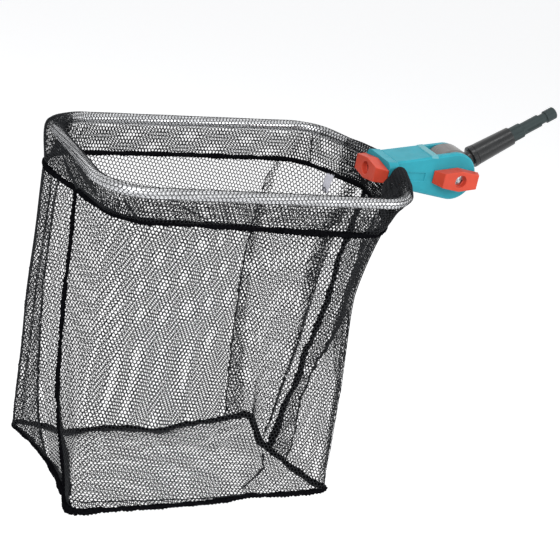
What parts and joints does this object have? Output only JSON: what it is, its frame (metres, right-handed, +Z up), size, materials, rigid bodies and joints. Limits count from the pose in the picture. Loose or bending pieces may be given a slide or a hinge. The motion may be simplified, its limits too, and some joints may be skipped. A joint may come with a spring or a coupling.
{
  "type": "leaf skimmer net",
  "caption": "Deep mesh skimmer bag on a bent tube frame, clamped in a tilting plastic head with wing nuts, on a short click-in shaft for a pole.",
  "frame": {"origin": "on the shaft's axis, halfway along its plug-in cylinder", "axes": "+X along the net towards the pole, +Z up with the tube frame lying level at rest, +Y across the net away from the pivot's wing nut"},
  "size_m": [0.6456, 0.2784, 0.4932],
  "materials": {
    "knuckle_grey": "gloss",
    "sleeve_black": "gloss",
    "tang_slate": "satin",
    "turquoise": "satin moulded plastic",
    "orange_red": "satin moulded plastic",
    "tube_alu": "satin",
    "steel": "bright zinc",
    "net_black": "warp-knitted mesh",
    "seam_black": "overlocked thread",
    "tag_white": "plain woven tape"
  },
  "bodies": {
    "handle": {"knuckle": "knuckle_grey", "sleeve": "sleeve_black", "collar_ring": "sleeve_black", "handle_tang": "tang_slate"},
    "head": {"fork_body": "turquoise", "frame_tube": "tube_alu", "pivot_bolt": "steel", "clamp_bolt": "steel", "net_channel": "net_black", "net_hem": "net_black", "hem_seam": "seam_black", "net_front": "net_black", "net_back": "net_black", "net_bottom": "net_black", "seam_far_end": "seam_black", "seam_handle_end": "seam_black", "bottom_seam": "seam_black", "sewn_tag": "tag_white"},
    "jaw": {"clamp_jaw": "turquoise", "clamp_washer": "steel"},
    "clamp_knob": {"clamp_wing_nut": "orange_red", "clamp_hex_nut": "steel"},
    "pivot_plate": {"pivot_washer": "steel"},
    "pivot_knob": {"pivot_wing_nut": "orange_red", "pivot_hex_nut": "steel"}
  },
  "joints": [
    {"name": "tilt", "type": "hinge", "parent": "handle", "child": "head", "pos_m": [-0.10972, 0, -0.06592], "axis": [0, 1, 0], "range_deg": [-75, 60]},
    {"name": "clamp_back_off", "type": "slide", "parent": "head", "child": "jaw", "axis": [-1, 0, 0], "range_m": [0, 0.0038]},
    {"name": "clamp_wing_turn", "type": "hinge", "parent": "jaw", "child": "clamp_knob", "pos_m": [-0.20972, 0, -0.06592], "axis": [-1, 0, 0], "range_deg": [0, 1080]},
    {"name": "pivot_back_off", "type": "slide", "parent": "head", "child": "pivot_plate", "axis": [0, -1, 0], "range_m": [0, 0.0038]},
    {"name": "pivot_wing_turn", "type": "hinge", "parent": "pivot_plate", "child": "pivot_knob", "pos_m": [-0.10972, -0.0237, -0.06592], "axis": [0, -1, 0], "range_deg": [0, 1080]}
  ],
  "couplings": [
    {"joint": "clamp_back_off", "follows": "clamp_wing_turn", "m_per_rad": 0.00019894},
    {"joint": "pivot_back_off", "follows": "pivot_wing_turn", "m_per_rad": 0.00019894}
  ]
}
